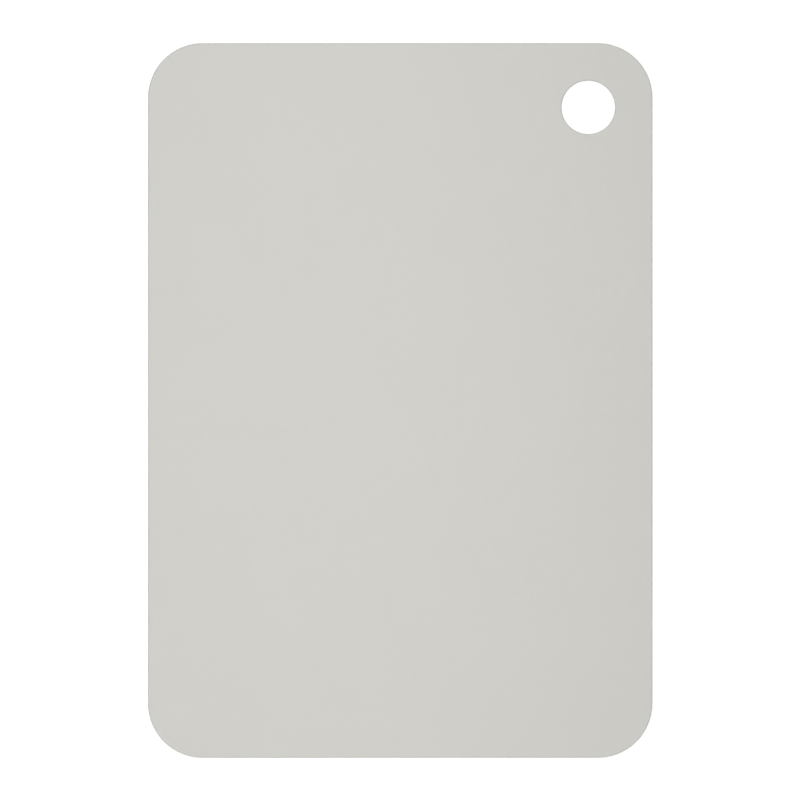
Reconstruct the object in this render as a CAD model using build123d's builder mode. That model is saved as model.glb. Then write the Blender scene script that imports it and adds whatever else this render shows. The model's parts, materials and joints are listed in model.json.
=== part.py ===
from build123d import *
import os

# A flexible cutting mat: one plastic sheet with rounded corners and a hanging hole.
# It lies flat on Z = 0 with its long sides along Y and its hole towards +X and +Y.
# The origin is under the middle of the sheet. All lengths are in mm.

# Sheet
MAT_WIDTH = 240
MAT_LENGTH = 340
SHEET_THICKNESS = 1.5
CORNER_RADIUS = 26
EDGE_ROUNDING = 0.5

# Hanging hole, with its centre equally far from the long and the short side
HOLE_DIAMETER = 25.5
HOLE_EDGE_DISTANCE = 30.5

# The sheet bends in a band along its middle, and keeps a flat panel along each long side.
# The panel reaches past the hole by this much.
HOLE_LAND = 12
STRIPS_PER_SIDE = 9

# The rounding of a rim takes at most this share of the thickness, on each face
LARGEST_ROUNDING_SHARE = 0.45

rim_rounding = min(EDGE_ROUNDING, LARGEST_ROUNDING_SHARE * SHEET_THICKNESS)
panel_width = HOLE_EDGE_DISTANCE + HOLE_DIAMETER / 2 + HOLE_LAND
band_half_width = MAT_WIDTH / 2 - panel_width
strip_width = 2 * band_half_width / (2 * STRIPS_PER_SIDE + 1)


def fold_line(number):
    """Distance from the mat's middle to a fold line, counted outward from 1."""
    return (number - 0.5) * strip_width


# The whole sheet
with BuildPart() as sheet:
    with BuildSketch():
        RectangleRounded(MAT_WIDTH, MAT_LENGTH, CORNER_RADIUS)
        with Locations((MAT_WIDTH / 2 - HOLE_EDGE_DISTANCE, MAT_LENGTH / 2 - HOLE_EDGE_DISTANCE)):
            Circle(HOLE_DIAMETER / 2, mode=Mode.SUBTRACT)
    extrude(amount=SHEET_THICKNESS)
    levels = sheet.edges().group_by(Axis.Z)
    fillet(levels[0] + levels[-1], rim_rounding)


def write_section(label, left, right):
    """Writes the part of the sheet between two lines along Y. A side without a line runs to the rim."""
    with BuildPart() as section:
        add(sheet.part)
        if left is not None:
            split(bisect_by=Plane.YZ.offset(left), keep=Keep.TOP)
        if right is not None:
            split(bisect_by=Plane.YZ.offset(right), keep=Keep.BOTTOM)
    section.part.label = label
    export_step(section.part, f"parts/{label}.step")


os.makedirs("parts", exist_ok=True)

# Centre strip
write_section("centre_strip", -fold_line(1), fold_line(1))

# Strips that curl on each side of it
for number in range(1, STRIPS_PER_SIDE + 1):
    near = fold_line(number)
    far = fold_line(number + 1)
    write_section(f"right_strip_{number}", near, far)
    write_section(f"left_strip_{number}", -far, -near)

# Edge panels
panel_line = fold_line(STRIPS_PER_SIDE + 1)
write_section("right_edge_panel", panel_line, None)
write_section("left_edge_panel", None, -panel_line)
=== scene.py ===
import json
import math

import bmesh
import bpy
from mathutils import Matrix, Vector
from mathutils.geometry import delaunay_2d_cdt

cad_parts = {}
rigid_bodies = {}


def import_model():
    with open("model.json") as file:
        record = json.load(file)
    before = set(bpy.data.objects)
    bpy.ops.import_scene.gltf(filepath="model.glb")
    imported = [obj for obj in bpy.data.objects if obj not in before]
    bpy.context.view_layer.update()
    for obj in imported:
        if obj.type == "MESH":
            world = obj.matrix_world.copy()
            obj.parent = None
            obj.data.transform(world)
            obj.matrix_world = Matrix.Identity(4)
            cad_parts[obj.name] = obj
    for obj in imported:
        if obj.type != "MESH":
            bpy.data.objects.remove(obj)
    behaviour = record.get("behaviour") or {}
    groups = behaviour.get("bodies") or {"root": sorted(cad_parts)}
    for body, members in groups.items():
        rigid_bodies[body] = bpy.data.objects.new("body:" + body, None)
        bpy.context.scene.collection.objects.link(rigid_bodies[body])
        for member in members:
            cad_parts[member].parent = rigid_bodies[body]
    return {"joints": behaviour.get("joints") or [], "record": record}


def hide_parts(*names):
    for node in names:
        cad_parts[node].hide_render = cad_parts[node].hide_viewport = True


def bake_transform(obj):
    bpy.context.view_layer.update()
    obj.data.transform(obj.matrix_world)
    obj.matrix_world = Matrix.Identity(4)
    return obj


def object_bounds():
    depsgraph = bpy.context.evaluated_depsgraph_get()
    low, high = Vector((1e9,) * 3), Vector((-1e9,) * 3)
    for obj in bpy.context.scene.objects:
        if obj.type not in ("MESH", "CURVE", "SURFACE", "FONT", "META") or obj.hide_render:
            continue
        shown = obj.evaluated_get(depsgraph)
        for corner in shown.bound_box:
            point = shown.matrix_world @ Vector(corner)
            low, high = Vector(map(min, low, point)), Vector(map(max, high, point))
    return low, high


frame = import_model()
cad_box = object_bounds()

# A flexible cutting mat, lying on the floor and seen straight from above. The sheet is made
# of pieces that meet halfway between its folds, so that each piece spans one fold.
# Lengths are in metres.

MM = 0.001

# Sheet, from the frame
low, high = cad_box
HALF_WIDTH = (high.x - low.x) / 2
HALF_LENGTH = (high.y - low.y) / 2
THICKNESS = high.z - low.z
HOLE = next(mount for mount in frame["record"]["mounts"] if mount["name"] == "hanging_hole")
HOLE_CENTRE = Vector(HOLE["pos_m"][:2])
HOLE_RADIUS = HOLE["dims"]["r_mm"] * MM
MATERIAL_SLOT = frame["record"]["materials"][0]
BASE_COLOUR = MATERIAL_SLOT["base_color"]

# Sheet, not in the frame
CORNER_RADIUS = 26 * MM
EDGE_ROUNDING = 0.5 * MM

# Middle of the corner's arc at +X and +Y
CORNER_X = HALF_WIDTH - CORNER_RADIUS
CORNER_Y = HALF_LENGTH - CORNER_RADIUS

# The corners anticlockwise, as signs of X and Y
CORNER_SIGNS = [(1, 1), (-1, 1), (-1, -1), (1, -1)]

# Share of a piece's span over a fold that bends. The rest stays flat, half of it at each end.
BEND_SHARE = 0.5

# Mesh
ROW_STEP = 4.3 * MM
COLUMN_STEP = 4.5 * MM
RIM_SEGMENTS = 6
CORNER_SEGMENTS = 32
HOLE_SEGMENTS = 96
SUPPORT_WIDTH = 0.2 * MM
RIM_CLEARANCE = 1.5 * MM
SHARP_ANGLE = math.radians(60)

# Triangulation: the kind of result that leaves holes open, and the distance that merges points
TRIANGLES_AROUND_HOLES = 2
MERGE_DISTANCE = 1e-7

# The sheet doesn't lie quite flat. Each swell has its middle, its half width and its height.
SWELLS = [
    (Vector((-85 * MM, 60 * MM)), 60 * MM, 0.35 * MM),
    (Vector((95 * MM, -20 * MM)), 55 * MM, 0.45 * MM),
    (Vector((-60 * MM, -125 * MM)), 50 * MM, 0.4 * MM),
    (Vector((30 * MM, 130 * MM)), 60 * MM, 0.3 * MM),
]

# Surface. Mottling and painted shade are factors on the base colour, and a change is how far a
# value strays.
ROUGHNESS = 0.5
ROUGHNESS_CHANGE = 0.04
GRAIN_SIZE = 0.45 * MM
GRAIN_DEPTH = 0.07 * MM
# Painted shade in the grain's pits and painted light on its tops: the base colour follows the
# grain's height by this much.
PAINTED_PIT_SHADE_CHANGE = 0.015
CLOUD_SIZE = 45 * MM
CLOUD_TONE_CHANGE = 0.004
# Painted shade on the rounded rim: the base colour falls to this share at the edge, over the
# rounding and its support.
PAINTED_EDGE_SHADE = 0.9
EDGE_ATTRIBUTE = "edge"

# Noise textures: their detail, and the range in which nearly all their values lie
NOISE_DETAIL = 2
NOISE_RANGE = (0.3, 0.7)

# Photograph: its size, and the mat's length and middle in it
PHOTO_SIZE_PX = 800
PHOTO_MAT_LENGTH_PX = 714.6
PHOTO_MAT_MIDDLE_PX = (399.7, 400.0)

# Camera
CAMERA_HEIGHT = 1.6
SENSOR_WIDTH_MM = 36

# Light
WHITE = (1, 1, 1, 1)
HORIZON_LIGHT = 0.14
ZENITH_LIGHT = 0.68
OVERHEAD_POWER = 2.33
OVERHEAD_PLACE = Vector((-0.045, 0.05, 0.62))
OVERHEAD_SIZE = (0.3, 1.2)
SIDE_POWER = 2.5
SIDE_PLACE = Vector((-1.1, -0.7, 1.5))
SIDE_SIZE = (0.9, 0.9)

# Floor, which fades into the white background between two distances from its middle
FLOOR_HALF_SIZE = 0.6
FLOOR_FADE_START = 0.3
FLOOR_FADE_END = 0.55
FLOOR_DROP = 0.1 * MM
FLOOR_COLOUR = (0.6, 0.6, 0.6, 1)
FLOOR_GLOW = 0.59


def evenly(start, end, step):
    """Numbers from start to end, both included, evenly spaced and at most a step apart."""
    count = math.ceil((end - start) / step)
    return [start + (end - start) * i / count for i in range(count + 1)]


def side_joints(side):
    """The folds on one side of the middle, from the middle outward."""
    joints = [joint for joint in frame["joints"] if joint["pos_m"][0] * side > 0]
    return sorted(joints, key=lambda joint: abs(joint["pos_m"][0]))


def piece_spans(side):
    """For each fold on one side, how far from the middle the piece over it starts and ends.

    The spans meet halfway between folds, and each fold is in the middle of its span.
    """
    spans = []
    start = 0
    for joint in side_joints(side):
        end = 2 * abs(joint["pos_m"][0]) - start
        spans.append((start, end))
        start = end
    return spans


def bend_ends(start, end):
    """Where the bend in a piece's span starts and ends."""
    flat = (end - start) * (1 - BEND_SHARE) / 2
    return start + flat, end - flat


def lay(point):
    """How far the sheet stands off the floor at a point."""
    return sum(
        height * math.exp(-((point - middle).length / width) ** 2)
        for middle, width, height in SWELLS
    )


def grid_lines():
    """Columns and rows of the mesh. Pieces and bends start and end at a column."""
    spans = piece_spans(1)
    last_end = spans[-1][1]
    half_columns = [x for start, end in spans for x in (start, *bend_ends(start, end))]
    half_columns += evenly(last_end, CORNER_X, COLUMN_STEP)
    half_columns += evenly(CORNER_X, HALF_WIDTH, COLUMN_STEP)[1:]
    columns = [-x for x in reversed(half_columns[1:])] + half_columns
    end_rows = evenly(CORNER_Y, HALF_LENGTH, ROW_STEP)[1:]
    rows = [-y for y in reversed(end_rows)] + evenly(-CORNER_Y, CORNER_Y, ROW_STEP) + end_rows
    return columns, rows


def outline(columns, rows):
    """The rim, anticlockwise: points, each with the direction out of the sheet there.

    A straight side follows each corner, and faces the way that the corner's last point does.
    """
    across = [x for x in columns if abs(x) < CORNER_X - RIM_CLEARANCE]
    along = [y for y in rows if abs(y) < CORNER_Y - RIM_CLEARANCE]
    straights = [
        [(x, HALF_LENGTH) for x in reversed(across)],
        [(-HALF_WIDTH, y) for y in reversed(along)],
        [(x, -HALF_LENGTH) for x in across],
        [(HALF_WIDTH, y) for y in along],
    ]
    path = []
    for quarter, (x_sign, y_sign) in enumerate(CORNER_SIGNS):
        middle = Vector((x_sign * CORNER_X, y_sign * CORNER_Y))
        for step in range(CORNER_SEGMENTS + 1):
            angle = (quarter + step / CORNER_SEGMENTS) * math.pi / 2
            out = Vector((math.cos(angle), math.sin(angle)))
            path.append((middle + out * CORNER_RADIUS, out))
        path += [(Vector(point), out) for point in straights[quarter]]
    return path


def hole_rim():
    """The hole's rim, clockwise: points, each with the direction out of the sheet there."""
    path = []
    for step in range(HOLE_SEGMENTS):
        angle = -step / HOLE_SEGMENTS * 2 * math.pi
        away = Vector((math.cos(angle), math.sin(angle)))
        path.append((HOLE_CENTRE + away * HOLE_RADIUS, -away))
    return path


def rim_levels():
    """The rounding, from the wall to the face: distances from the rim and half thicknesses."""
    levels = []
    for step in range(RIM_SEGMENTS + 1):
        angle = step / RIM_SEGMENTS * math.pi / 2
        inset = EDGE_ROUNDING * (1 - math.cos(angle))
        half = THICKNESS / 2 - EDGE_ROUNDING * (1 - math.sin(angle))
        levels.append((inset, half))
    levels.append((EDGE_ROUNDING + SUPPORT_WIDTH, THICKNESS / 2))
    return levels


def clear_of_rim(point):
    """True if a point of the grid lies well inside the sheet."""
    margin = EDGE_ROUNDING + SUPPORT_WIDTH + RIM_CLEARANCE
    beyond_x = abs(point.x) - CORNER_X
    beyond_y = abs(point.y) - CORNER_Y
    if beyond_x > 0 and beyond_y > 0:
        inside = math.hypot(beyond_x, beyond_y) < CORNER_RADIUS - margin
    else:
        inside = max(beyond_x, beyond_y) < CORNER_RADIUS - margin
    return inside and (point - HOLE_CENTRE).length > HOLE_RADIUS + margin


def add_rounding(points, faces, path):
    """Adds the rounding along a rim to the plan. Gives the loop where the flat face starts."""
    levels = rim_levels()
    rim_width = levels[-1][0]
    count = len(path)
    for inset, half in levels:
        start = len(points)
        # Mask of the painted rim shade: 1 at the edge, 0 where the flat face starts.
        edge = 1 - inset / rim_width
        points += [(point - out * inset, half, edge) for point, out in path]
        if inset > 0:
            for i in range(count):
                j = (i + 1) % count
                faces.append((start - count + i, start - count + j, start + j, start + i))
    return range(start, start + count)


def add_flat_face(points, faces, loops, grid):
    """Adds the flat face between the loops to the plan, as triangles with corners on a grid."""
    inner = [index for loop in loops for index in loop]
    for point in filter(clear_of_rim, grid):
        inner.append(len(points))
        points.append((point, THICKNESS / 2, 0))
    order = {index: i for i, index in enumerate(inner)}
    borders = [[order[index] for index in loop] for loop in loops]
    flat = [points[index][0] for index in inner]
    _, _, triangles, sources, _, _ = delaunay_2d_cdt(
        flat, [], borders, TRIANGLES_AROUND_HOLES, MERGE_DISTANCE
    )
    for triangle in triangles:
        faces.append(tuple(inner[sources[corner][0]] for corner in triangle))


def sheet_plan():
    """The whole sheet from above: its points, and faces between them.

    Each point has half the thickness there, and a number from 0 on the face to 1 at the edge,
    which sets the painted shade on the rounded rim.
    """
    columns, rows = grid_lines()
    points = []
    faces = []
    loops = [add_rounding(points, faces, path) for path in (outline(columns, rows), hole_rim())]
    add_flat_face(points, faces, loops, [Vector((x, y)) for x in columns for y in rows])
    return points, faces


def piece_mesh(name, points, faces):
    """A closed piece of the sheet: both faces, and a wall along its rim and its seams."""
    mesh = bmesh.new()
    # Each point keeps the mask of the painted rim shade.
    edge_layer = mesh.verts.layers.float.new(EDGE_ATTRIBUTE)
    tops = {}
    bottoms = {}
    for index in {i for face in faces for i in face}:
        point, half, edge = points[index]
        middle = THICKNESS / 2 + lay(point)
        tops[index] = mesh.verts.new((point.x, point.y, middle + half))
        bottoms[index] = mesh.verts.new((point.x, point.y, middle - half))
        tops[index][edge_layer] = bottoms[index][edge_layer] = edge
    steps = set()
    for face in faces:
        mesh.faces.new([tops[i] for i in face])
        mesh.faces.new([bottoms[i] for i in reversed(face)])
        steps.update(zip(face, face[1:] + face[:1]))
    # A step between two points that no other face takes back lies along the rim or a seam
    for a, b in steps:
        if (b, a) not in steps:
            mesh.faces.new([tops[b], tops[a], bottoms[a], bottoms[b]])
    data = bpy.data.meshes.new(name)
    mesh.to_mesh(data)
    mesh.free()
    data.shade_smooth()
    data.set_sharp_from_angle(angle=SHARP_ANGLE)
    return data


def middle_x(points, face):
    """How far towards +X the middle of a face is."""
    return sum(points[i][0].x for i in face) / len(face)


def add_object(name, data, place=(0, 0, 0)):
    """Adds an object to the scene, with its origin at a place."""
    item = bpy.data.objects.new(name, data)
    item.location = place
    bpy.context.scene.collection.objects.link(item)
    return item


def make_sheet(material):
    """The sheet in pieces, each of which spans one fold."""
    points, faces = sheet_plan()
    for side, word in ((1, "right"), (-1, "left")):
        joints = side_joints(side)
        for number, (joint, (start, end)) in enumerate(zip(joints, piece_spans(side)), 1):
            reach = HALF_WIDTH if number == len(joints) else end
            own = [face for face in faces if start < side * middle_x(points, face) < reach]
            name = f"sheet_{word}_{number}"
            piece = add_object(name, piece_mesh(name, points, own))
            piece.data.materials.append(material)
            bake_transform(piece)
            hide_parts(joint["child"])
            if number == 1:
                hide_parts(joint["parent"])


def add_node(tree, kind, inputs=None, operation=None):
    """Adds a node. Each of its inputs gets another node's output, a number or a colour."""
    node = tree.nodes.new(f"ShaderNode{kind}")
    if operation:
        node.operation = operation
    for key, value in (inputs or {}).items():
        if isinstance(value, bpy.types.NodeSocket):
            tree.links.new(value, node.inputs[key])
        else:
            node.inputs[key].default_value = value
    return node


def calculated(tree, operation, first, second):
    """The result of a calculation with two values."""
    return add_node(tree, "Math", {0: first, 1: second}, operation).outputs["Value"]


def remapped(tree, value, old, new, interpolation="LINEAR"):
    """A value moved from an old range to a new one, and held at the range's ends."""
    ends = {"From Min": old[0], "From Max": old[1], "To Min": new[0], "To Max": new[1]}
    node = add_node(tree, "MapRange", {"Value": value, **ends})
    node.interpolation_type = interpolation
    return node.outputs["Result"]


def mixed(tree, share, first, second):
    """Two shaders mixed, with the second one's share."""
    return add_node(tree, "MixShader", {0: share, 1: first, 2: second}).outputs["Shader"]


def noise(tree, coordinates, size):
    """A noise texture whose spots are about a given size."""
    inputs = {"Vector": coordinates, "Scale": 1 / size, "Detail": NOISE_DETAIL}
    return add_node(tree, "TexNoise", inputs).outputs["Fac"]


def varied(tree, pattern, middle, change):
    """A value that follows a noise texture around its middle, give or take the change."""
    return remapped(tree, pattern, NOISE_RANGE, (middle - change, middle + change))


def colour_with_painted_shade(tree, grain, clouds):
    """The base colour, which hardly varies on the face: faint mottling, painted shade in the
    grain's pits and painted light on its tops. It is darker at the edge with painted shade on
    the rounded rim.
    """
    # Painted shade on the rounded rim, read from the edge mask.
    edge = add_node(tree, "Attribute")
    edge.attribute_name = EDGE_ATTRIBUTE
    painted_edge_shade = remapped(tree, edge.outputs["Fac"], (0, 1), (1, PAINTED_EDGE_SHADE))
    # Painted shade in the grain's pits and painted light on its tops, from the same noise as
    # the bump.
    painted_pit_shade = varied(tree, grain, 1, PAINTED_PIT_SHADE_CHANGE)
    cloud_tone = varied(tree, clouds, 1, CLOUD_TONE_CHANGE)
    mottle_and_pit_shade = calculated(tree, "MULTIPLY", painted_pit_shade, cloud_tone)
    mottle_and_painted_shade = calculated(tree, "MULTIPLY", mottle_and_pit_shade, painted_edge_shade)
    inputs = {"Vector": BASE_COLOUR, "Scale": mottle_and_painted_shade}
    return add_node(tree, "VectorMath", inputs, "SCALE").outputs["Vector"]


def sheet_material():
    """Soft matt plastic with a fine moulded grain, with painted shade in the grain's pits and
    on the rounded rim.
    """
    material = bpy.data.materials.new("matt_plastic")
    material.use_nodes = True
    tree = material.node_tree
    coordinates = add_node(tree, "TexCoord").outputs["Object"]
    grain = noise(tree, coordinates, GRAIN_SIZE)
    clouds = noise(tree, coordinates, CLOUD_SIZE)
    bump = add_node(tree, "Bump", {"Strength": 1, "Distance": GRAIN_DEPTH, "Height": grain})
    shader = tree.nodes["Principled BSDF"]
    tree.links.new(colour_with_painted_shade(tree, grain, clouds), shader.inputs["Base Color"])
    tree.links.new(varied(tree, grain, ROUGHNESS, ROUGHNESS_CHANGE), shader.inputs["Roughness"])
    tree.links.new(bump.outputs["Normal"], shader.inputs["Normal"])
    return material


def seen_directly(tree):
    """1 for camera, glossy and transmission rays, and 0 for the rays that light the object."""
    path = add_node(tree, "LightPath")
    seen = path.outputs["Is Camera Ray"]
    for kind in ("Is Glossy Ray", "Is Transmission Ray"):
        seen = calculated(tree, "MAXIMUM", seen, path.outputs[kind])
    return seen


def make_world():
    """A white background, and soft light that is stronger from above than from the sides."""
    world = bpy.data.worlds.new("studio")
    world.use_nodes = True
    tree = world.node_tree
    tree.nodes.clear()
    direction = add_node(tree, "TexCoord").outputs["Generated"]
    upward = add_node(tree, "SeparateXYZ", {"Vector": direction}).outputs["Z"]
    strength = remapped(tree, upward, (0, 1), (HORIZON_LIGHT, ZENITH_LIGHT))
    light = add_node(tree, "Background", {"Color": WHITE, "Strength": strength})
    white = add_node(tree, "Background", {"Color": WHITE})
    shaders = [node.outputs["Background"] for node in (light, white)]
    add_node(tree, "OutputWorld", {"Surface": mixed(tree, seen_directly(tree), *shaders)})
    bpy.context.scene.world = world


def make_lamp(name, place, size, power):
    """A rectangular softbox that faces straight down."""
    data = bpy.data.lights.new(name, "AREA")
    data.shape = "RECTANGLE"
    data.size, data.size_y = size
    data.energy = power
    lamp = add_object(name, data, place)
    lamp.visible_camera = False
    return lamp


def make_lights():
    """One softbox above the sheet, and one to the side that is turned towards its middle."""
    make_lamp("overhead_light", OVERHEAD_PLACE, OVERHEAD_SIZE, OVERHEAD_POWER)
    side = make_lamp("side_light", SIDE_PLACE, SIDE_SIZE, SIDE_POWER)
    side.rotation_euler = SIDE_PLACE.to_track_quat("Z", "Y").to_euler()


def floor_material():
    """White in the open, darker in the object's shade, and clear where the floor ends."""
    material = bpy.data.materials.new("floor_white")
    material.use_nodes = True
    tree = material.node_tree
    tree.nodes.clear()
    diffuse = add_node(tree, "BsdfDiffuse", {"Color": FLOOR_COLOUR}).outputs["BSDF"]
    strength = calculated(tree, "MULTIPLY", seen_directly(tree), FLOOR_GLOW)
    glow = add_node(tree, "Emission", {"Strength": strength}).outputs["Emission"]
    white = add_node(tree, "AddShader", {0: diffuse, 1: glow}).outputs["Shader"]
    clear = add_node(tree, "BsdfTransparent").outputs["BSDF"]
    coordinates = add_node(tree, "TexCoord").outputs["Object"]
    distance = add_node(tree, "VectorMath", {"Vector": coordinates}, "LENGTH").outputs["Value"]
    fade_range = (FLOOR_FADE_START, FLOOR_FADE_END)
    fade = remapped(tree, distance, fade_range, (0, 1), "SMOOTHSTEP")
    add_node(tree, "OutputMaterial", {"Surface": mixed(tree, fade, white, clear)})
    return material


def make_floor():
    """A plain floor just under the sheet."""
    points = [(x * FLOOR_HALF_SIZE, y * FLOOR_HALF_SIZE, -FLOOR_DROP) for x, y in CORNER_SIGNS]
    data = bpy.data.meshes.new("floor")
    data.from_pydata(points, [], [range(len(points))])
    data.materials.append(floor_material())
    floor = add_object("floor", data)


def make_camera():
    """Straight above the sheet, with its long sides upright in the picture.

    The mat's upper face has the length and the middle that it has in the photograph.
    """
    metres_per_px = 2 * HALF_LENGTH / PHOTO_MAT_LENGTH_PX
    photo_middle = (PHOTO_SIZE_PX - 1) / 2
    data = bpy.data.cameras.new("camera")
    data.sensor_width = SENSOR_WIDTH_MM
    data.lens = SENSOR_WIDTH_MM * (CAMERA_HEIGHT - THICKNESS) / (PHOTO_SIZE_PX * metres_per_px)
    place = (
        (photo_middle - PHOTO_MAT_MIDDLE_PX[0]) * metres_per_px,
        (PHOTO_MAT_MIDDLE_PX[1] - photo_middle) * metres_per_px,
        CAMERA_HEIGHT,
    )
    bpy.context.scene.camera = add_object("camera", data, place)


make_sheet(sheet_material())
make_world()
make_lights()
make_floor()
make_camera()
bpy.context.scene.view_settings.view_transform = "Standard"
